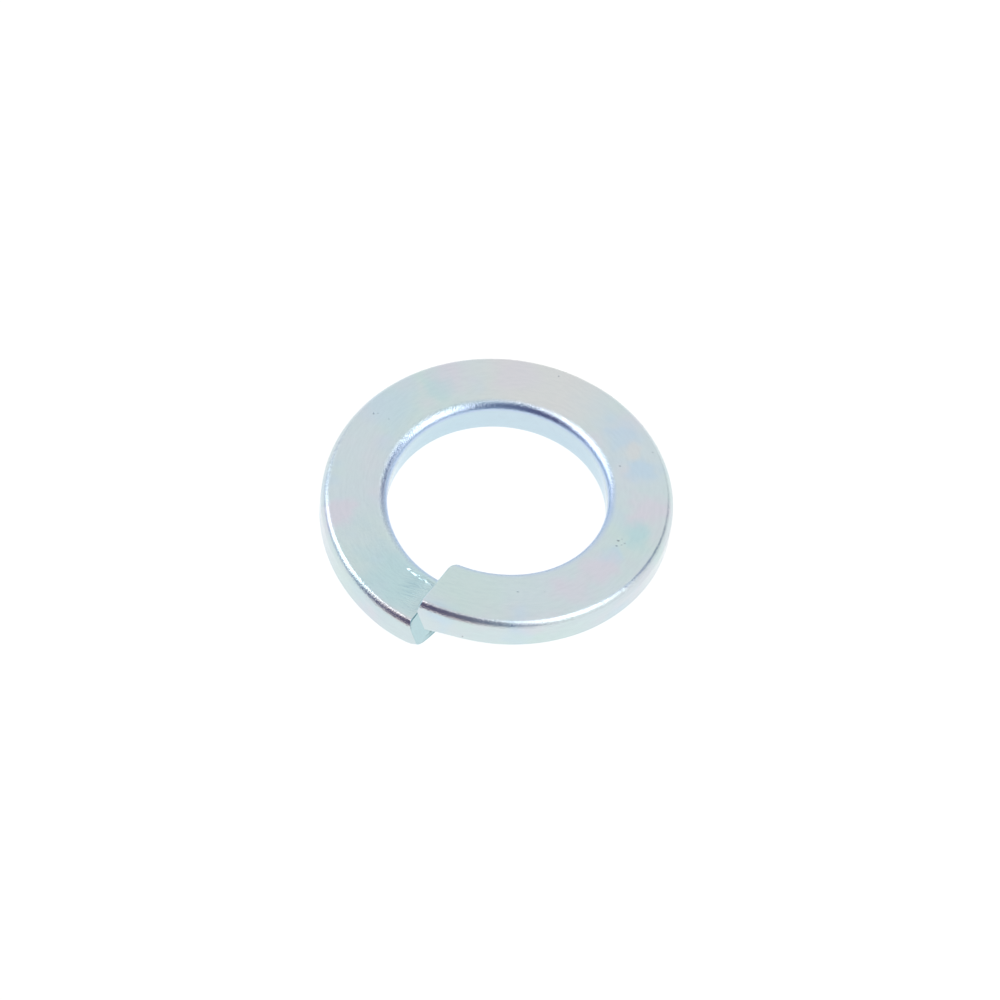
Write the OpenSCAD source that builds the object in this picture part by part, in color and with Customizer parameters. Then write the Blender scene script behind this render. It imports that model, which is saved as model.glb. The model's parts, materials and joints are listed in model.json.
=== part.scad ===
// Spring lock washer: one turn of keystone wire, coiled on edge and cut
// through by a shear, so that its two ends stand apart in height. The shear
// leaves an upright land on each cut face, and the rest of the face leans
// where the steel has torn.
// The coil's axis is Z, and its lowest point lies on Z = 0.
// Seen from above the coil climbs clockwise, the hand for right-hand threads,
// and the split faces -Y.

/* [Ring] */
// Diameter of the bore that the bolt passes through
bore_d = 12.7; // [12.2:0.1:13.6]
// Radial width of the ring, from the bore to the rim
ring_w = 3.85; // [3.2:0.1:4.8]

/* [Wire section] */
// Thickness at the bore, where coiling has swollen the wire
bore_t = 2.5; // [2.1:0.05:2.9]
// Thickness at the rim, where coiling has stretched the wire
rim_t = 2.1; // [1.7:0.05:2.5]
// Radius of the two corners at the bore
bore_corner_r = 0.6; // [0.2:0.05:0.8]
// Radius of the two corners at the rim
rim_corner_r = 0.5; // [0.2:0.05:0.7]

/* [Coil] */
// Height that the coil climbs in one full turn
pitch = 2.5; // [2.1:0.05:3.2]

/* [Split] */
// Width of the split between the torn faces, measured level
split_gap = 0.04; // [0.02:0.02:1.5]
// Lean of the torn faces from upright, with the high end overhanging
split_lean = 24.5; // [0:0.5:40]
// Angle in plan between the cut and the radius through its middle
split_skew = 8.5; // [-15:0.5:20]
// Height of the upright land on the high end, measured from its top
high_land_h = 0.9; // [0.1:0.05:1.2]
// Height of the upright land on the low end, measured from its underside
low_land_h = 0.6; // [0.1:0.05:1.2]
// Radius of the roll that the shear has pressed into the low end's underside
roll_r = 1.1; // [0.6:0.1:2]
// Height by which that roll lifts the underside at the land
roll_lift = 0.4; // [0.05:0.05:0.5]

/* [Hidden] */

// How finely the coil and its corners are drawn
ring_steps = 120;
corner_steps = 5;
round_fn = 180;
// Passes that find where a line of the coil meets a cut face
cut_passes = 6;

// Stock left on both walls of the coiled wire and then cut away, so that
// the bore and the rim come out as true cylinders
wall_stock = 0.012;
// How far the turning and shearing tools pass the coil
tool_over = 1;
// How far along the coil each land is cut, and how far its cut runs on into
// the air past the edge of the torn face
land_reach = 1;
land_run_out = 0.2;

bore_r = bore_d / 2;
rim_r = bore_r + ring_w;
mean_r = (bore_r + rim_r) / 2;

// Azimuth of the middle of the split, and of the cut's own line in plan
split_az = 270;
cut_az = split_az - split_skew;
// Distance of the cut's line from the axis, at mid thickness
cut_offset = mean_r * sin(split_skew);

// Section of the wire as [radius, height], with the height from mid
// thickness. The corners go once round, each with its own radius.
section_corners = [
    [rim_r + wall_stock, rim_t / 2, rim_corner_r],
    [bore_r - wall_stock, bore_t / 2, bore_corner_r],
    [bore_r - wall_stock, -bore_t / 2, bore_corner_r],
    [rim_r + wall_stock, -rim_t / 2, rim_corner_r]
];

function unit(v) = v / norm(v);

// Points of an arc that rounds corner b of the outline a, b, c by radius r
function round_corner(a, b, c, r) =
    let (
        u = unit(a - b),
        w = unit(c - b),
        half = acos(u * w) / 2,
        centre = b + unit(u + w) * r / sin(half),
        start = b + u * r / tan(half),
        from_dir = start - centre,
        sweep = 180 - 2 * half
    )
    [for (i = [0 : corner_steps])
        let (t = sweep * i / corner_steps)
        centre + [
            from_dir[0] * cos(t) - from_dir[1] * sin(t),
            from_dir[0] * sin(t) + from_dir[1] * cos(t)
        ]];

function plan(p) = [p[0], p[1]];

section = [for (i = [0 : 3])
    let (
        before = section_corners[(i + 3) % 4],
        here = section_corners[i],
        after = section_corners[(i + 1) % 4]
    )
    each round_corner(plan(before), plan(here), plan(after), here[2])];

// Height that the coil has climbed on its way clockwise from the split
function climb(az) = pitch * (split_az - az) / 360;

// Azimuth at which the line that one point of the section draws meets a cut
// face, with side -1 for the low end and 1 for the high end. Each pass takes
// the height at the azimuth that the pass before it found.
function cut_meets(p, side, az, passes) =
    passes == 0 ? az :
    let (
        height = p[1] + climb(az),
        offset = cut_offset + side * split_gap / 2 - height * tan(split_lean)
    )
    cut_meets(p, side, cut_az + asin(offset / p[0]), passes - 1);

low_ends = [for (p = section) cut_meets(p, -1, split_az, cut_passes)];
high_ends = [for (p = section) cut_meets(p, 1, split_az, cut_passes) - 360];

// Point of the coil at a share t of the way from the low end to the high end
function coil_point(i, t) =
    let (
        p = section[i],
        az = low_ends[i] + t * (high_ends[i] - low_ends[i])
    )
    [p[0] * cos(az), p[0] * sin(az), p[1] + climb(az)];

function coil_ring(t) = [for (i = [0 : len(section) - 1]) coil_point(i, t)];

low_ring = coil_ring(0);
high_ring = coil_ring(1);
top_z = max([for (p = high_ring) p[2]]);

// Distances of the two lands from the cut's parallel through the axis
high_land_y = cut_offset + split_gap / 2 - (bore_t / 2 - high_land_h) * tan(split_lean);
low_land_y = cut_offset - split_gap / 2 + (bore_t / 2 - low_land_h) * tan(split_lean);

// The roll starts this far before the low land, and the coil's lowest point
// lies where it starts
roll_len = sqrt(2 * roll_r * roll_lift - pow(roll_lift, 2));
roll_y = low_land_y - roll_len;
function roll_az(r) = cut_az + asin(roll_y / r);
base_z = min([for (p = section) p[1]]) + climb(roll_az(bore_r));

// Slope of the underside, which rises from the bore to the rim
under_slope = atan((bore_t - rim_t) / 2 / ring_w);

module coiled_wire() {
    n = len(section);
    points = [for (k = [0 : ring_steps]) each coil_ring(k / ring_steps)];
    walls = [for (k = [0 : ring_steps - 1]) for (i = [0 : n - 1])
        let (j = (i + 1) % n)
        [k * n + i, (k + 1) * n + i, (k + 1) * n + j, k * n + j]];
    low_face = [for (i = [0 : n - 1]) i];
    high_face = [for (i = [n - 1 : -1 : 0]) ring_steps * n + i];
    polyhedron(points, concat([low_face, high_face], walls), convexity = 6);
}

// Places what is drawn with x outward along the cut and y across it
module at_cut() {
    rotate([0, 0, cut_az])
        children();
}

// What the shear takes off the overhanging top of the high end
module high_land_cut() {
    at_cut()
        translate([bore_r - tool_over, high_land_y - land_reach,
                pitch + bore_t / 2 - high_land_h - land_run_out])
            cube([ring_w + 2 * tool_over, land_reach, high_land_h + land_run_out + tool_over]);
}

// What the shear takes off the jutting foot of the low end
module low_land_cut() {
    at_cut()
        translate([bore_r - tool_over, low_land_y, -bore_t / 2 - tool_over])
            cube([ring_w + 2 * tool_over, land_reach, low_land_h + land_run_out + tool_over]);
}

// The roll that lifts the low end's underside towards the land
module low_roll_cut() {
    w = ring_w + 2 * tool_over;
    at_cut()
        translate([bore_r, roll_y, climb(roll_az(bore_r)) - bore_t / 2])
            rotate([0, -under_slope, 0])
                difference() {
                    translate([-tool_over, 0, -tool_over])
                        cube([w, roll_len + tool_over, roll_r + tool_over]);
                    translate([-2 * tool_over, 0, roll_r])
                        rotate([0, 90, 0])
                            cylinder(h = w + 2 * tool_over, r = roll_r, $fn = round_fn);
                }
}

module spring_washer() {
    color([0.77, 0.82, 0.83])
    translate([0, 0, -base_z])
    intersection() {
        difference() {
            coiled_wire();
            high_land_cut();
            low_land_cut();
            low_roll_cut();
            translate([0, 0, base_z - tool_over])
                cylinder(h = top_z - base_z + 2 * tool_over, r = bore_r, $fn = round_fn);
        }
        translate([0, 0, base_z - tool_over])
            cylinder(h = top_z - base_z + 2 * tool_over, r = rim_r, $fn = round_fn);
    }
}

spring_washer();
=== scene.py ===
# Spring lock washer, zinc plated: the visual model, its finish and the studio around it.
# Lengths are in metres and angles in degrees, unless a name or comment says otherwise. Z is
# up, the coil's axis is Z, and its split faces -Y. Seen from above the coil climbs clockwise, from
# the low end on the left of the split to the high end on its right.
import json
import math

import bpy
import numpy as np
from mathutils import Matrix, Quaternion, Vector, noise


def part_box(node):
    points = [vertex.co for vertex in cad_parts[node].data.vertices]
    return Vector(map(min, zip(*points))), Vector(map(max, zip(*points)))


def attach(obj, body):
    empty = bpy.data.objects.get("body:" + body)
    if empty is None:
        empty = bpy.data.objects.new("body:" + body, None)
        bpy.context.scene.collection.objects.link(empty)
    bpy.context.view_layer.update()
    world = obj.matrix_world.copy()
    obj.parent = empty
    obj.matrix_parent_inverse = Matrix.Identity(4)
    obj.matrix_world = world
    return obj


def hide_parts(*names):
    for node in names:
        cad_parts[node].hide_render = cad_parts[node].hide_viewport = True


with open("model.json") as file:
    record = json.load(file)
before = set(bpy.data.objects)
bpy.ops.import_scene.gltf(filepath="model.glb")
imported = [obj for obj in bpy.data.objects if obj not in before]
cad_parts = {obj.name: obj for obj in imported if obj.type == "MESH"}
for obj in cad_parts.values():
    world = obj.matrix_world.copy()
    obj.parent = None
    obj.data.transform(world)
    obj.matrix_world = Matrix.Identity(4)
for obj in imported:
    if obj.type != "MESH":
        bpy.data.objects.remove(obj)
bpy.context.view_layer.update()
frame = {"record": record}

MM = 0.001

# The washer's sizes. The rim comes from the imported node, the bore from its mount, and the
# rest are the driving sizes of the part.
NODE = "spring_washer"
node_low, node_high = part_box(NODE)
RIM_R = node_high.x
BORE_R = frame["record"]["mounts"][0]["dims"]["r_mm"] * MM
MEAN_R = (BORE_R + RIM_R) / 2
BORE_T = 2.5 * MM
RIM_T = 2.1 * MM
BORE_CORNER_R = 0.6 * MM
RIM_CORNER_R = 0.5 * MM
PITCH = 2.5 * MM

# The split: two torn faces that lean, each with an upright land left by the shear, and the
# roll that the shear has pressed into the low end's underside
SPLIT_AZ = 270
SPLIT_SKEW = 8.5
CUT_AZ = SPLIT_AZ - SPLIT_SKEW
SPLIT_GAP = 0.04 * MM
SPLIT_LEAN = 24.5
HIGH_LAND_H = 0.9 * MM
LOW_LAND_H = 0.6 * MM
ROLL_R = 1.1 * MM
ROLL_LIFT = 0.4 * MM
LEAN = math.tan(math.radians(SPLIT_LEAN))
CUT_OFFSET = MEAN_R * math.sin(math.radians(SPLIT_SKEW))
HIGH_FOLD = BORE_T / 2 - HIGH_LAND_H
LOW_FOLD = LOW_LAND_H - BORE_T / 2
LOW_LAND_Y = CUT_OFFSET - SPLIT_GAP / 2 - LOW_FOLD * LEAN
ROLL_Y = LOW_LAND_Y - math.sqrt(2 * ROLL_R * ROLL_LIFT - ROLL_LIFT ** 2)

# What the shear has done to the steel beside the split: the low end's top edge is rolled
# over and its foot bulges, its last stretch is lifted and the high end's is pressed down,
# and the outer foot is drawn out sharp on the high end and blunt on the low end
TOP_ROLL = 0.02 * MM
TOP_ROLL_H = 0.12 * MM
FOOT_ROLL = 0.08 * MM
FOOT_BULGE = 0.30 * MM
FOOT_ROLL_H = 0.45 * MM
FOOT_ROLL_FROM = -0.42 * MM
END_LIFT = 0.12 * MM
END_DIP = 0.10 * MM
END_SET_LENGTH = 3.2 * MM
SHARP_FOOT_R = 0.12 * MM
SHARP_FOOT_LENGTH = 1.4 * MM
BLUNT_FOOT_R = 0.68 * MM
BLUNT_FOOT_LENGTH = 2.2 * MM

# The two upper corners, which rolling and coiling have drawn out of true arcs: how far each
# reaches over the top and down the wall, and how close it keeps to the corner
BORE_CORNER = {"top": 0.80 * MM, "wall": 0.58 * MM, "weight": 0.95}
RIM_CORNER = {"top": 0.44 * MM, "wall": 0.66 * MM, "weight": 0.72}

# How finely the coil is drawn
RINGS = 840
CORNER_STEPS = 12
TOP_STEPS = 16
UNDER_STEPS = 8
WALL_STEPS = 10
CUT_PASSES = 8

# Rounding that the shear, tumbling and plating leave on the edges of the cut faces, and how
# much more of it each end has where the edge passes the upper bore and rim corners
EDGE_R = 0.035 * MM
LOW_EDGE = {"bore": 0.08 * MM, "rim": 0.05 * MM}
HIGH_EDGE = {"bore": 0.28 * MM, "rim": 0.12 * MM}
EDGE_STEPS = 5
EDGE_HOLD = 1.4
EDGE_ROOM = 0.4 * MM

# How far the skin of the coil wanders from its true form
CORNER_WANDER = 0.014 * MM
FACE_WANDER = 0.004 * MM
WANDER_LONG = 1.6 * MM
WANDER_SHORT = 0.5 * MM
# How far a normal turns from upright or level, as a drop of its cosine, to count as a corner
CORNER_TURN = 0.2

# The camera as it stood for the photograph, whose frame is 1000 by 1000 pixels: where it
# looks from, its turn about its own axis, and the pixel where the ring's centre lies
CAMERA_AZ = 18.35
CAMERA_EL = 53.42
CAMERA_ROLL = 8.77
CAMERA_DISTANCE = 1.02
PHOTO_SIZE_PX = 1000
RIM_R_PX = 176.03
CENTRE_PX = (496.6, 504.9)
CAMERA_CLIP = (0.01, 10.0)


def corner_curve(before, here, after, reach, weight):
    """A rounded corner that starts reach[0] before it and ends reach[1] after it. The higher
    its weight, the closer the curve keeps to the corner."""
    first = here + (before - here).normalized() * reach[0]
    last = here + (after - here).normalized() * reach[1]
    curve = []
    for k in range(CORNER_STEPS + 1):
        t = k / CORNER_STEPS
        a, b, c = (1 - t) ** 2, 2 * weight * t * (1 - t), t ** 2
        curve.append((first * a + here * b + last * c) / (a + b + c))
    return curve


def arc_curve(before, here, after, radius):
    """A corner rounded by a true arc."""
    half = (before - here).angle(after - here) / 2
    reach = radius / math.tan(half)
    return corner_curve(before, here, after, (reach, reach), math.sin(half))


def section_outline(foot_r):
    """The wire's section as rows of radius and height, once round from the middle of the
    underside by way of the bore, the top and the rim, whose foot is rounded by foot_r."""
    foot_in = Vector((BORE_R, -BORE_T / 2))
    top_in = Vector((BORE_R, BORE_T / 2))
    top_out = Vector((RIM_R, RIM_T / 2))
    foot_out = Vector((RIM_R, -RIM_T / 2))
    bore_reach = (BORE_CORNER["wall"], BORE_CORNER["top"])
    rim_reach = (RIM_CORNER["top"], RIM_CORNER["wall"])
    curves = [
        arc_curve(foot_out, foot_in, top_in, BORE_CORNER_R),
        corner_curve(foot_in, top_in, top_out, bore_reach, BORE_CORNER["weight"]),
        corner_curve(top_in, top_out, foot_out, rim_reach, RIM_CORNER["weight"]),
        arc_curve(top_out, foot_out, foot_in, foot_r),
    ]
    steps_after = [WALL_STEPS, TOP_STEPS, WALL_STEPS, UNDER_STEPS]
    outline = []
    for i, curve in enumerate(curves):
        outline += curve
        following = curves[(i + 1) % 4][0]
        for k in range(1, steps_after[i]):
            outline.append(curve[-1].lerp(following, k / steps_after[i]))
    middle = -(UNDER_STEPS // 2)
    return np.array(outline[middle:] + outline[:middle])


def outline_normals(outline):
    along = np.roll(outline, -1, 0) - np.roll(outline, 1, 0)
    normals = np.stack([-along[:, 1], along[:, 0]], 1)
    return normals / np.linalg.norm(normals, axis=1)[:, None]


def climb(az):
    """Height that the coil has climbed on its way clockwise from the split."""
    return PITCH * (SPLIT_AZ - az) / 360


def across_cut(points, az):
    """Distance of points across the cut, from its parallel through the axis."""
    return points[:, 0] * np.sin(np.radians(az - CUT_AZ))


def rolled(points, az):
    """Heights of the section's points once the shear's roll has raised the underside."""
    into_roll = np.clip(across_cut(points, az) - ROLL_Y, 0, 0.999 * ROLL_R)
    lift = np.minimum(ROLL_R - np.sqrt(ROLL_R ** 2 - into_roll ** 2), ROLL_LIFT)
    share_out = (points[:, 0] - BORE_R) / (RIM_R - BORE_R)
    half_t = (BORE_T + (RIM_T - BORE_T) * share_out) / 2
    return np.where(points[:, 1] < 0, points[:, 1] * (1 - lift / half_t), points[:, 1])


def low_end(points):
    """Azimuths at which the section's lines meet the low end's face."""
    az = np.full(len(points), float(SPLIT_AZ))
    for _ in range(CUT_PASSES):
        height = rolled(points, az) + climb(az)
        over = np.clip(1 - (RIM_T / 2 - points[:, 1]) / TOP_ROLL_H, 0, 1)
        under = np.clip((FOOT_ROLL_FROM - height) / FOOT_ROLL_H, 0, 1)
        offset = CUT_OFFSET - SPLIT_GAP / 2 - np.maximum(height, LOW_FOLD) * LEAN
        across = 2 * (points[:, 0] - MEAN_R) / (RIM_R - BORE_R)
        foot = FOOT_BULGE * (1 - across ** 2) - FOOT_ROLL
        offset = offset - TOP_ROLL * over ** 2 + foot * under
        az = CUT_AZ + np.degrees(np.arcsin(offset / points[:, 0]))
    return az


def high_end(points):
    """Azimuths at which the section's lines meet the high end's face, a turn on."""
    az = np.full(len(points), float(SPLIT_AZ))
    for _ in range(CUT_PASSES):
        height = points[:, 1] + climb(az)
        offset = CUT_OFFSET + SPLIT_GAP / 2 - np.minimum(height, HIGH_FOLD) * LEAN
        az = CUT_AZ + np.degrees(np.arcsin(offset / points[:, 0]))
    return az - 360


def edge_radii(normals, extra):
    """How round the edge of a cut face is at each point of the section."""
    upper = 2 * np.abs(normals[:, 0]) * np.clip(normals[:, 1], 0, 1)
    return EDGE_R + upper * np.where(normals[:, 0] < 0, extra["bore"], extra["rim"])


def coil_rings():
    """Rows of (share of the way from the low end, inset of the section, distance back from
    the cut face), which round off the edges of both cut faces. The last two are in edge
    radii."""
    rounding = []
    for k in range(EDGE_STEPS + 1):
        a = math.radians(90 * k / EDGE_STEPS)
        rounding.append((1 - math.cos(a), 1 - math.sin(a)))
    rounding.append((EDGE_HOLD, 0))
    low = [(0, inset, back) for inset, back in reversed(rounding)]
    high = [(1, inset, back) for inset, back in rounding]
    clear = EDGE_ROOM / (2 * math.pi * MEAN_R)
    body = [(clear + (1 - 2 * clear) * k / RINGS, 0, 0) for k in range(RINGS + 1)]
    return low + body + high


def end_share(distance, length):
    """1 at an end of the coil, falling to 0 over a length back from it."""
    return np.clip(1 - distance / length, 0, 1) ** 2


def coil_grid():
    """Points of the coil, ring by ring, and for each the place in the wire: length from the
    split's middle, radius, and height from mid thickness."""
    plain, sharp, blunt = [section_outline(r) for r in (RIM_CORNER_R, SHARP_FOOT_R, BLUNT_FOOT_R)]
    base = plain[:, 1].min() + climb(CUT_AZ + math.degrees(math.asin(ROLL_Y / BORE_R)))
    turn_length = 2 * math.pi * MEAN_R
    grid, places = [], []
    for share, inset, back in coil_rings():
        sharpness = float(end_share((1 - share) * turn_length, SHARP_FOOT_LENGTH))
        bluntness = float(end_share(share * turn_length, BLUNT_FOOT_LENGTH))
        outline = plain + (sharp - plain) * sharpness + (blunt - plain) * bluntness
        normals = outline_normals(outline)
        edge = edge_radii(normals, LOW_EDGE if share < 0.5 else HIGH_EDGE)
        p = outline - normals * (inset * edge)[:, None]
        low, high = low_end(p), high_end(p)
        step_back = np.degrees(back * edge / p[:, 0])
        az = low + share * (high - low) + np.where(share > 0.5, step_back, -step_back)
        from_low = np.radians(low - az) * p[:, 0]
        from_high = np.radians(az - high) * p[:, 0]
        height = rolled(p, az) if share < 0.5 else p[:, 1]
        lifted = END_LIFT * end_share(from_low, END_SET_LENGTH)
        dipped = END_DIP * end_share(from_high, END_SET_LENGTH)
        turn = np.radians(az)
        z = height + climb(az) - base + lifted - dipped
        ring = np.stack([p[:, 0] * np.cos(turn), p[:, 0] * np.sin(turn), z], 1)
        grid.append(wandered(ring, normals))
        places.append(np.stack([np.radians(SPLIT_AZ - az) * MEAN_R, p[:, 0], p[:, 1]], 1))
    return np.array(grid), np.array(places)


def wandered(ring, normals):
    """A ring with the slight wander that drawing and coiling leave, most on its corners."""
    flat = np.maximum(np.abs(normals[:, 0]), np.abs(normals[:, 1]))
    depth = FACE_WANDER + (CORNER_WANDER - FACE_WANDER) * np.clip((1 - flat) / CORNER_TURN, 0, 1)
    moved = []
    for p, normal, most in zip(ring, normals, depth):
        here = Vector(p)
        wave = noise.noise(here / WANDER_LONG) + 0.5 * noise.noise(here / WANDER_SHORT)
        out = Vector((p[0], p[1], 0)).normalized() * normal[0]
        out.z = normal[1]
        moved.append(here - out * most * (0.5 + 0.5 * wave))
    return np.array(moved)


def cap_faces(first, count, flip):
    """Faces that close one end: strips that join each point of the bore side of the section
    to its partner on the rim side."""
    half = count // 2
    faces = [(first, first + 1, first + count - 1)]
    for i in range(1, half - 1):
        faces.append((first + i, first + i + 1, first + count - i - 1, first + count - i))
    faces.append((first + half - 1, first + half, first + half + 1))
    return [tuple(reversed(face)) for face in faces] if flip else faces


def build_washer():
    grid, places = coil_grid()
    rings, count = grid.shape[:2]
    faces = []
    for k in range(rings - 1):
        for i in range(count):
            j = (i + 1) % count
            faces.append((k * count + i, (k + 1) * count + i, (k + 1) * count + j, k * count + j))
    faces += cap_faces(0, count, False)
    faces += cap_faces((rings - 1) * count, count, True)
    mesh = bpy.data.meshes.new("washer")
    mesh.from_pydata(grid.reshape(-1, 3).tolist(), [], faces)
    mesh.polygons.foreach_set("use_smooth", [True] * len(mesh.polygons))
    mesh.attributes.new("wire_place", "FLOAT_VECTOR", "POINT")
    mesh.attributes["wire_place"].data.foreach_set("vector", places.astype(np.float32).ravel())
    torn = np.zeros((rings, count), np.float32)
    torn[:EDGE_STEPS + 1] = 1
    torn[-EDGE_STEPS - 1:] = 1
    mesh.attributes.new("torn", "FLOAT", "POINT")
    mesh.attributes["torn"].data.foreach_set("value", torn.ravel())
    mesh.update()
    washer = bpy.data.objects.new("washer", mesh)
    bpy.context.scene.collection.objects.link(washer)
    return washer


# The sockets of a mix node that carry its share and its colours
MIX_SHARE = 0
MIX_FIRST = 6
MIX_SECOND = 7
MIX_RESULT = 2


class Nodes:
    """Makes nodes in one tree. A socket given as an input is linked, and a value is set."""

    def __init__(self, tree):
        self.tree = tree
        tree.nodes.clear()

    def add(self, kind, inputs=None, **settings):
        made = self.tree.nodes.new(kind)
        for name, value in settings.items():
            setattr(made, name, value)
        for name, value in (inputs or {}).items():
            if isinstance(value, bpy.types.NodeSocket):
                self.tree.links.new(value, made.inputs[name])
            else:
                made.inputs[name].default_value = value
        return made

    def math(self, operation, *values):
        inputs = dict(enumerate(values))
        return self.add("ShaderNodeMath", inputs, operation=operation).outputs[0]

    def times(self, product, *values):
        for value in values:
            product = self.math("MULTIPLY", product, value)
        return product

    def plus(self, total, *values):
        for value in values:
            total = self.math("ADD", total, value)
        return total

    def vector(self, operation, *values, scale=None):
        inputs = dict(enumerate(values))
        if scale is not None:
            inputs["Scale"] = scale
        made = self.add("ShaderNodeVectorMath", inputs, operation=operation)
        return made.outputs["Value" if operation in ("DISTANCE", "DOT_PRODUCT") else "Vector"]

    def parts(self, vector):
        return self.add("ShaderNodeSeparateXYZ", {0: vector}).outputs

    def ramp(self, value, low, high, to_low=0.0, to_high=1.0):
        """value taken smoothly from low..high to to_low..to_high."""
        return self.add("ShaderNodeMapRange", {
            "Value": value, "From Min": low, "From Max": high, "To Min": to_low, "To Max": to_high,
        }, interpolation_type="SMOOTHSTEP").outputs[0]

    def fade(self, value, start, end, most=1.0):
        """most where value is up to start, falling smoothly to 0 at end."""
        return self.ramp(value, start, end, most, 0.0)

    def noise(self, vector, scale, detail=2.0, roughness=0.5):
        return self.add("ShaderNodeTexNoise", {
            "Vector": vector, "Scale": scale, "Detail": detail, "Roughness": roughness,
        }).outputs[0]

    def mix(self, share, first, second):
        inputs = {MIX_SHARE: share, MIX_FIRST: first, MIX_SECOND: second}
        return self.add("ShaderNodeMix", inputs, data_type="RGBA").outputs[MIX_RESULT]


def srgb(r, g, b):
    """A colour written as in a picture, from 0 to 255, as linear red, green, blue and alpha."""
    def linear(c):
        c /= 255
        return c / 12.92 if c <= 0.04045 else ((c + 0.055) / 1.055) ** 2.4
    return (linear(r), linear(g), linear(b), 1.0)


# The plating's own colour, the tints of its patches and stains, a painted blue reflection in the
# bore and on its upper corner, a painted brown reflection on the rim's corner, the teal of the
# torn faces, and the greys of its pits and grain
PLATE = srgb(208, 221, 225)
PLATE_GREEN = srgb(203, 224, 219)
PLATE_PINK = srgb(217, 214, 224)
PLATE_BLUE = srgb(192, 216, 234)
# Painted reflection: the blue that the bore's wall mirrors, and a bluer one for its upper corner
BORE_REFLECTION_BLUE = srgb(196, 219, 232)
BORE_CORNER_REFLECTION_BLUE = srgb(188, 206, 236)
# Painted reflection: the brown that the rim's upper corner mirrors beside the split
RIM_REFLECTION_BROWN = srgb(212, 202, 202)
PLATE_WARM = srgb(219, 220, 218)
PLATE_TEAL = srgb(186, 218, 222)
TORN_TEAL = srgb(185, 212, 217)
PIT_GREY = srgb(95, 102, 116)
GRAIN_GREY = srgb(150, 165, 180)

# Broad patches of tint: shift of their noise in mm, tint, the noise's scale per mm, and the
# noise levels between which the tint sets in
PATCHES = [
    ((7.0, 2.0, 0.0), PLATE_GREEN, 0.22, (0.40, 0.74)),
    ((1.0, 9.0, 4.0), PLATE_PINK, 0.30, (0.48, 0.80)),
    ((5.0, 3.0, 8.0), PLATE_BLUE, 0.34, (0.50, 0.84)),
]
PATCH_SHARE = 0.7

# Stains that passivation has left on top: azimuth, radius and height in mm, size in mm,
# tint, and its share
STAINS = [
    (100.0, 8.6, 3.50, 8.0, PLATE_WARM, 0.8),
    (134.6, 9.0, 3.25, 2.2, PLATE_PINK, 0.7),
    (110.1, 8.7, 3.43, 2.6, PLATE_PINK, 0.5),
    (140.2, 8.6, 3.23, 1.8, PLATE_TEAL, 0.5),
    (161.0, 9.0, 3.07, 3.0, PLATE_BLUE, 0.4),
    (213.1, 9.1, 2.70, 1.8, PLATE_PINK, 0.8),
    (250.0, 8.2, 2.53, 4.2, PLATE_TEAL, 0.65),
    (38.8, 8.6, 3.94, 2.0, PLATE_BLUE, 0.65),
    (56.6, 8.6, 3.81, 2.0, PLATE_BLUE, 0.5),
    (49.3, 8.5, 3.87, 1.4, PLATE_WARM, 0.6),
    (18.8, 8.6, 4.08, 2.2, PLATE_PINK, 0.8),
    (11.0, 8.3, 4.15, 1.5, PLATE_PINK, 0.7),
    (5.7, 8.7, 4.15, 1.8, PLATE_TEAL, 0.7),
    (348.7, 8.1, 4.31, 1.4, PLATE_BLUE, 0.5),
    (340.4, 8.2, 4.36, 2.2, PLATE_PINK, 0.8),
    (327.1, 8.3, 4.45, 2.0, PLATE_PINK, 0.6),
    (285.0, 8.2, 4.70, 4.0, PLATE_GREEN, 0.7),
]

# How far the outlines of the stains wander in mm, the scale of that per mm, and where in its
# size a stain starts and ends to fade
STAIN_DRIFT = 2.4
STAIN_DRIFT_SCALE = 0.5
STAIN_FADE = (0.2, 0.75)

# Pits in the plating: azimuth, radius and height in mm, size in mm. Each fades from its core
# outward, and its grey has a share of the colour.
PITS = [
    (42.4, 7.37, 3.98, 0.08),
    (303.0, 7.80, 4.64, 0.07),
    (46.0, 9.58, 3.83, 0.06),
    (359.0, 7.70, 4.26, 0.11),
    (357.8, 8.00, 4.25, 0.06),
    (356.1, 7.80, 4.27, 0.08),
    (0.6, 7.85, 4.26, 0.05),
    (359.2, 8.10, 4.24, 0.06),
    (283.9, 10.20, 3.09, 0.07),
    (93.4, 9.44, 3.51, 0.07),
    (167.2, 9.19, 3.01, 0.09),
    (166.0, 9.02, 3.02, 0.06),
    (165.4, 8.27, 3.07, 0.06),
    (314.4, 8.00, 4.55, 0.04),
]
PIT_CORE = 0.3
PIT_SHARE = 0.55

# Where the painted reflections and the torn faces' tint begin and end, in mm: outward from the
# bore's wall for the painted blue, inward from the rim's wall for the painted brown, up from
# mid thickness, and away from where the split meets the rim, which is given as azimuth,
# radius and height
BORE_REFLECTION_REACH = (0.05, 0.60)
BORE_REFLECTION_SHARE = 0.8
RIM_REFLECTION_REACH = (0.25, 0.55)
UPPER = (0.68, 0.92)
SPLIT_RIM = (270.0, 10.2, 3.5)
SPLIT_REFLECTION_REACH = (2.0, 5.5)
TORN_TINT_SHARE = 0.9

# The raised line by the bore beside the low end: radius, half width and reach in mm, the
# scale per mm of the noise that breaks it, the noise levels between which a gap turns into a
# dash, and the share of the line left in a gap. A reach along the wire counts from the
# split's middle, and weights here and below are in relief depths.
RIDGE_RADIUS = 7.06
RIDGE_HALF_WIDTH = 0.19
RIDGE_REACH = (2.9, 3.1)
RIDGE_SCALE = 3.2
RIDGE_LEVELS = (0.34, 0.48)
RIDGE_GAP_SHARE = 0.15
RIDGE_WEIGHT = 4.6

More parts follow.
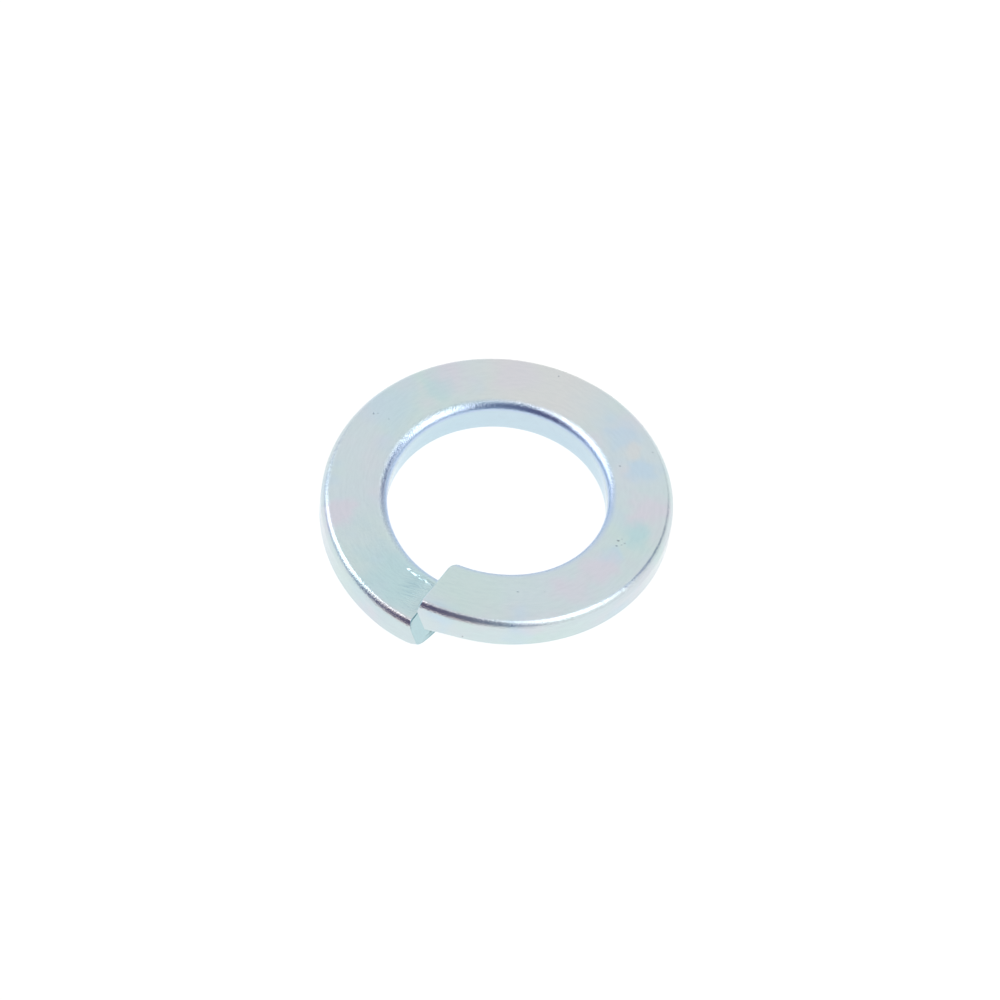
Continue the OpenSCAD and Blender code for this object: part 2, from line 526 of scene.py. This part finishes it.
# Scratches of the shear's guide: their middle and reach in mm, their turn in plan, how drawn
# out they are, and their noise's scale and levels
SCRATCH_AT = (-0.6, -7.7, 2.4)
SCRATCH_REACH = (0.5, 2.4)
SCRATCH_TURN = 10
SCRATCH_STRETCH = 0.025
SCRATCH_SCALE = 16.0
SCRATCH_LEVELS = (0.35, 0.60)
SCRATCH_WEIGHT = 0.8

# Where the line and the scratches can show, in mm along the wire and up from mid thickness
MARKED_REACH = (5.0, 6.0)
MARKED_HEIGHT = (0.8, 1.0)

# Crystals of the zinc, which stand out most on the upper corners. Their zones are in mm,
# outward from the bore's wall, inward from the rim's wall and up from mid thickness.
CRYSTAL_SCALE = 11.0
CRYSTAL_WEIGHT = 0.6
CORNER_CRYSTAL_WEIGHT = 1.5
BORE_CRYSTAL_REACH = (0.35, 0.80)
RIM_CRYSTAL_REACH = (0.30, 0.60)
CRYSTAL_HEIGHT = (0.3, 0.6)

# Other relief, the fine grain of the colour, and the polish of the plating. Scales are per mm.
RELIEF_DEPTH = 0.02 * MM
RELIEF_STRENGTH = 0.55
LINE_STRETCH = 0.22
LINE_SCALE = 8.0
LINE_WEIGHT = 0.45
TEAR_SCALE = 4.0
TEAR_WEIGHT = 1.5
PIT_WEIGHT = 1.2
GRAIN_SCALE = 7.0
GRAIN_LEVELS = (0.35, 0.75)
GRAIN_SHARE = 0.06
POLISH_SCALE = 1.2
POLISH_LEVELS = (0.3, 0.7)
ROUGHNESS = (0.10, 0.15)
TORN_ROUGHNESS = 0.05


def ring_place(az, radius, height):
    turn = math.radians(az)
    return (radius * math.cos(turn), radius * math.sin(turn), height)


def near_bore(n, radius, reach, most=1.0):
    """most at the bore's wall, falling to 0 over a reach outward from it in mm."""
    return n.fade(radius, BORE_R / MM + reach[0], BORE_R / MM + reach[1], most)


def near_rim(n, radius, reach):
    """1 at the rim's wall, falling to 0 over a reach inward from it in mm."""
    return n.ramp(radius, RIM_R / MM - reach[1], RIM_R / MM - reach[0])


def patched(n, place, colour):
    """The colour with broad patches of green, pink and blue."""
    for shift, tint, scale, (low, high) in PATCHES:
        shifted = n.vector("ADD", place, shift)
        patch = n.ramp(n.noise(shifted, scale), low, high, 0.0, PATCH_SHARE)
        colour = n.mix(patch, colour, tint)
    return colour


def stained(n, place, colour):
    """The colour with the stains, whose outlines wander."""
    drift = n.add("ShaderNodeTexNoise", {
        "Vector": place, "Scale": STAIN_DRIFT_SCALE, "Detail": 3.0,
    }).outputs["Color"]
    centred = n.vector("SUBTRACT", drift, (0.5, 0.5, 0.5))
    drifted = n.vector("ADD", place, n.vector("SCALE", centred, scale=STAIN_DRIFT))
    core, end = STAIN_FADE
    for az, radius, height, size, tint, share in STAINS:
        away = n.vector("DISTANCE", drifted, ring_place(az, radius, height))
        colour = n.mix(n.fade(away, size * core, size * end, share), colour, tint)
    return colour


def painted_reflections_and_torn_tint(n, place, wire, torn, colour):
    """The colour with a painted blue reflection in the bore, bluer on its upper corner, a painted
    brown reflection on the rim's corner beside the split, and the teal of the torn faces."""
    _, radius, height = n.parts(wire)
    upper = n.ramp(height, *UPPER)
    # Painted reflection: blue in the bore, bluer towards its upper corner
    painted_bore_reflection = near_bore(n, radius, BORE_REFLECTION_REACH, BORE_REFLECTION_SHARE)
    colour = n.mix(painted_bore_reflection, colour, n.mix(upper, BORE_REFLECTION_BLUE, BORE_CORNER_REFLECTION_BLUE))
    # Painted reflection: brown on the rim's upper corner beside the split
    from_split = n.vector("DISTANCE", place, ring_place(*SPLIT_RIM))
    beside_split = n.fade(from_split, *SPLIT_REFLECTION_REACH)
    painted_rim_reflection = n.times(near_rim(n, radius, RIM_REFLECTION_REACH), beside_split, upper)
    colour = n.mix(painted_rim_reflection, colour, RIM_REFLECTION_BROWN)
    return n.mix(n.times(torn, TORN_TINT_SHARE), colour, TORN_TEAL)


def pits_mask(n, place):
    """1 in the pits and 0 around them."""
    mask = None
    for az, radius, height, size in PITS:
        away = n.vector("DISTANCE", place, ring_place(az, radius, height))
        pit = n.fade(away, size * PIT_CORE, size)
        mask = pit if mask is None else n.math("MAXIMUM", mask, pit)
    return mask


def raised_line(n, wire):
    """Relief of the line by the bore, which is broken into dashes."""
    along, radius, _ = n.parts(wire)
    off = n.math("ABSOLUTE", n.math("SUBTRACT", radius, RIDGE_RADIUS))
    ridge = n.fade(off, 0.0, RIDGE_HALF_WIDTH)
    dashes = n.ramp(n.noise(wire, RIDGE_SCALE, 1.0), *RIDGE_LEVELS, RIDGE_GAP_SHARE)
    return n.times(ridge, n.fade(along, *RIDGE_REACH), dashes, RIDGE_WEIGHT)


def scratches(n, place):
    """Relief of the scratches, which fade away from their middle."""
    turn = math.radians(SCRATCH_TURN)
    across = n.vector("DOT_PRODUCT", place, (-math.sin(turn), math.cos(turn), 0))
    length = n.vector("DOT_PRODUCT", place, (math.cos(turn), math.sin(turn), 0))
    inputs = {"X": n.times(length, SCRATCH_STRETCH), "Y": across}
    streak = n.add("ShaderNodeCombineXYZ", inputs).outputs[0]
    lines = n.ramp(n.noise(streak, SCRATCH_SCALE, 1.0, 0.4), *SCRATCH_LEVELS)
    near = n.fade(n.vector("DISTANCE", place, SCRATCH_AT), *SCRATCH_REACH)
    return n.times(lines, near, SCRATCH_WEIGHT)


def low_end_marks(n, place, wire):
    """Relief of the line and of the scratches on top of the low end."""
    along, _, height = n.parts(wire)
    shown = n.times(n.ramp(height, *MARKED_HEIGHT), n.fade(along, *MARKED_REACH))
    return n.times(n.plus(raised_line(n, wire), scratches(n, place)), shown)


def crystals(n, place, wire):
    """Relief of the zinc's crystals."""
    _, radius, height = n.parts(wire)
    corners = n.plus(near_bore(n, radius, BORE_CRYSTAL_REACH),
                     near_rim(n, radius, RIM_CRYSTAL_REACH))
    raised = n.ramp(height, *CRYSTAL_HEIGHT, 0.0, CORNER_CRYSTAL_WEIGHT)
    weight = n.plus(n.times(corners, raised), CRYSTAL_WEIGHT)
    return n.times(n.noise(place, CRYSTAL_SCALE, 2.0, 0.6), weight)


def plating_relief(n, place, wire, drawn, torn, pits):
    """All relief of the plating: crystals, drawing lines along the wire, the torn faces'
    tearing, the marks beside the low end, and the pits."""
    lines = n.times(n.noise(drawn, LINE_SCALE), LINE_WEIGHT)
    tearing = n.times(n.noise(place, TEAR_SCALE, 3.0, 0.65), n.times(torn, TEAR_WEIGHT))
    marks = low_end_marks(n, place, wire)
    relief = n.plus(crystals(n, place, wire), lines, tearing, marks)
    return n.math("SUBTRACT", relief, n.times(pits, PIT_WEIGHT))


def zinc_material():
    material = bpy.data.materials.new("zinc_plated_steel")
    material.use_nodes = True
    n = Nodes(material.node_tree)
    object_place = n.add("ShaderNodeTexCoord").outputs["Object"]
    place = n.vector("SCALE", object_place, scale=1 / MM)
    wire_place = n.add("ShaderNodeAttribute", attribute_name="wire_place").outputs["Vector"]
    wire = n.vector("SCALE", wire_place, scale=1 / MM)
    torn = n.add("ShaderNodeAttribute", attribute_name="torn").outputs["Fac"]
    drawn = n.vector("MULTIPLY", wire, (LINE_STRETCH, 1.0, 1.0))
    pits = pits_mask(n, place)

    colour = painted_reflections_and_torn_tint(n, place, wire, torn, stained(n, place, patched(n, place, PLATE)))
    grain = n.ramp(n.noise(drawn, GRAIN_SCALE, 2.0, 0.6), *GRAIN_LEVELS, 0.0, GRAIN_SHARE)
    colour = n.mix(grain, colour, GRAIN_GREY)
    colour = n.mix(n.times(pits, PIT_SHARE), colour, PIT_GREY)

    bump = n.add("ShaderNodeBump", {
        "Strength": RELIEF_STRENGTH, "Distance": RELIEF_DEPTH,
        "Height": plating_relief(n, place, wire, drawn, torn, pits),
    })
    roughness = n.ramp(n.noise(place, POLISH_SCALE), *POLISH_LEVELS, *ROUGHNESS)
    roughness = n.plus(roughness, n.times(torn, TORN_ROUGHNESS))
    shader = n.add("ShaderNodeBsdfPrincipled", {
        "Base Color": colour, "Metallic": 1.0, "Roughness": roughness, "Normal": bump.outputs[0],
    })
    n.add("ShaderNodeOutputMaterial", {"Surface": shader.outputs[0]})
    return material


def camera_back():
    """Direction from the washer to the camera."""
    az, el = math.radians(CAMERA_AZ), math.radians(CAMERA_EL)
    return Vector((math.sin(az) * math.cos(el), -math.cos(az) * math.cos(el), math.sin(el)))


# The studio as the washer mirrors it towards the front. Each panel is given by the
# surface that mirrors it: the turn of that surface's normal from the front, positive to
# the right, its tilt from upright, the soft edges of both, and the light that it sends.
SKY_LIGHT = (0.93, 0.93, 0.94, 1.0)
PANELS = [
    {"turn": (52, 96), "tilt": (13, 33), "edges": (10, 6), "light": (0.27, 0.30, 0.38, 1.0)},
    {"turn": (51, 68), "tilt": (12, 36), "edges": (6, 12), "light": (0.36, 0.42, 0.64, 1.0)},
    {"turn": (-92, -38), "tilt": (16, 58), "edges": (20, 16), "light": (0.46, 0.54, 0.74, 1.0)},
    {"turn": (-42, 22), "tilt": (8, 36), "edges": (8, 5), "light": (0.40, 0.49, 0.61, 1.0)},
    {"turn": (-42, 22), "tilt": (27, 58), "edges": (8, 8), "light": (0.22, 0.27, 0.37, 1.0)},
    {"turn": (-38, -8), "tilt": (29, 61), "edges": (12, 8), "light": (0.14, 0.14, 0.25, 1.0)},
    {"turn": (-62, -28), "tilt": (11, 28), "edges": (5, 3), "light": (2.2, 2.2, 2.2, 1.0)},
    {"turn": (-84, -58), "tilt": (27, 41), "edges": (6, 5), "light": (2.0, 2.0, 2.0, 1.0)},
    {"turn": (-68, -40), "tilt": (22, 42), "edges": (8, 5), "light": (2.2, 2.2, 2.2, 1.0)},
    {"turn": (20, 51), "tilt": (10, 46), "edges": (4, 4), "light": (2.2, 2.2, 2.2, 1.0)},
]
SOFTBOXES = {
    "softbox_left": {"turn": -52, "tilt": 23, "size": 0.28},
    "softbox_right": {"turn": 36, "tilt": 28, "size": 0.28},
}
SOFTBOX_DISTANCE = 0.8
SOFTBOX_RADIANCE = 1.0

# What the studio sends to matt surfaces, and what the camera sees behind the table
FILL_LIGHT = (0.5, 0.5, 0.5, 1.0)
WHITE = (1.0, 1.0, 1.0, 1.0)

# The table: half its width, how far it lies under the washer, and how it takes and gives light
FLOOR_HALF = 3.0
FLOOR_GAP = 0.01 * MM
FLOOR_DIFFUSE = (0.35, 0.35, 0.35, 1.0)
FLOOR_GLOW = 0.86


def mirroring_normal(n):
    """Sockets for the turn and tilt of the surface that mirrors a ray to the front."""
    ray = n.add("ShaderNodeTexCoord").outputs["Generated"]
    normal = n.vector("NORMALIZE", n.vector("ADD", ray, tuple(camera_back())))
    turned = n.add("ShaderNodeVectorRotate", {
        "Vector": normal, "Axis": (0, 0, 1), "Angle": -math.radians(CAMERA_AZ),
    }).outputs[0]
    right, back, up = n.parts(turned)
    tilt = n.math("DEGREES", n.math("ARCCOSINE", up))
    turn = n.math("DEGREES", n.math("ARCTAN2", right, n.times(back, -1.0)))
    return turn, tilt


def panel_share(n, turn, tilt, panel):
    """1 inside a panel and 0 outside it, with soft edges."""
    share = None
    turn_edge, tilt_edge = panel["edges"]
    for value, span, edge in ((turn, panel["turn"], turn_edge), (tilt, panel["tilt"], tilt_edge)):
        middle, half = (span[0] + span[1]) / 2, (span[1] - span[0]) / 2
        away = n.math("ABSOLUTE", n.math("SUBTRACT", value, middle))
        inside = n.fade(away, half - edge / 2, half + edge / 2)
        share = inside if share is None else n.times(share, inside)
    return share


def build_world():
    world = bpy.data.worlds.new("studio")
    bpy.context.scene.world = world
    world.use_nodes = True
    n = Nodes(world.node_tree)
    turn, tilt = mirroring_normal(n)
    seen = SKY_LIGHT
    for panel in PANELS:
        seen = n.mix(panel_share(n, turn, tilt, panel), seen, panel["light"])
    light = n.add("ShaderNodeLightPath")
    colour = n.mix(light.outputs["Is Glossy Ray"], FILL_LIGHT, seen)
    camera_ray, through_ray = light.outputs["Is Camera Ray"], light.outputs["Is Transmission Ray"]
    colour = n.mix(n.math("MAXIMUM", camera_ray, through_ray), colour, WHITE)
    background = n.add("ShaderNodeBackground", {"Color": colour, "Strength": 1.0})
    n.add("ShaderNodeOutputWorld", {"Surface": background.outputs[0]})


def build_softbox(name, box):
    """A round lamp in the direction that a surface of the given turn and tilt mirrors."""
    around, tilt = math.radians(box["turn"] + CAMERA_AZ), math.radians(box["tilt"])
    level = math.sin(tilt)
    normal = Vector((level * math.sin(around), -level * math.cos(around), math.cos(tilt)))
    back = camera_back()
    out = (2 * normal.dot(back) * normal - back).normalized()
    lamp = bpy.data.lights.new(name, "AREA")
    lamp.shape = "DISK"
    lamp.size = box["size"]
    lamp.energy = SOFTBOX_RADIANCE * math.pi * math.pi * (box["size"] / 2) ** 2
    holder = bpy.data.objects.new(name, lamp)
    bpy.context.scene.collection.objects.link(holder)
    holder.location = out * SOFTBOX_DISTANCE
    holder.rotation_mode = "QUATERNION"
    holder.rotation_quaternion = out.to_track_quat("Z", "Y")
    holder.visible_camera = False


def build_floor():
    """A plain white table. It shows white to the camera and to the metal, and keeps the
    washer's soft shadow."""
    mesh = bpy.data.meshes.new("floor")
    signs = ((-1, -1), (1, -1), (1, 1), (-1, 1))
    corners = [(x * FLOOR_HALF, y * FLOOR_HALF, 0) for x, y in signs]
    mesh.from_pydata(corners, [], [(0, 1, 2, 3)])
    floor = bpy.data.objects.new("floor", mesh)
    bpy.context.scene.collection.objects.link(floor)
    floor.location.z = node_low.z - FLOOR_GAP
    material = bpy.data.materials.new("white_table")
    material.use_nodes = True
    n = Nodes(material.node_tree)
    diffuse = n.add("ShaderNodeBsdfDiffuse", {"Color": FLOOR_DIFFUSE})
    glow = n.add("ShaderNodeEmission", {"Color": WHITE, "Strength": FLOOR_GLOW})
    both = n.add("ShaderNodeAddShader", {0: diffuse.outputs[0], 1: glow.outputs[0]})
    n.add("ShaderNodeOutputMaterial", {"Surface": both.outputs[0]})
    mesh.materials.append(material)


def build_camera():
    """The camera looks at the middle of the coil from the photograph's angle, and a small
    shift puts that middle on its pixel."""
    start_az = CUT_AZ + math.degrees(math.asin(ROLL_Y / BORE_R))
    lowest = section_outline(RIM_CORNER_R)[:, 1].min() + climb(start_az)
    middle = PITCH / 2 - lowest
    back = camera_back()
    data = bpy.data.cameras.new("camera")
    distance_in_rims = CAMERA_DISTANCE / RIM_R
    data.lens = data.sensor_width * RIM_R_PX * distance_in_rims / PHOTO_SIZE_PX
    data.shift_x = (PHOTO_SIZE_PX / 2 - CENTRE_PX[0]) / PHOTO_SIZE_PX
    data.shift_y = (CENTRE_PX[1] - PHOTO_SIZE_PX / 2) / PHOTO_SIZE_PX
    data.clip_start, data.clip_end = CAMERA_CLIP
    camera = bpy.data.objects.new("camera", data)
    bpy.context.scene.collection.objects.link(camera)
    camera.location = Vector((0, 0, middle)) + back * CAMERA_DISTANCE
    aim = (-back).to_track_quat("-Z", "Y")
    camera.rotation_mode = "QUATERNION"
    camera.rotation_quaternion = aim @ Quaternion((0, 0, 1), math.radians(CAMERA_ROLL))
    bpy.context.scene.camera = camera


bpy.context.scene.view_settings.view_transform = "Standard"
build_camera()
build_world()
for name, box in SOFTBOXES.items():
    build_softbox(name, box)
build_floor()

washer = build_washer()
washer.data.materials.append(zinc_material())
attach(washer, "root")
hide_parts(NODE)
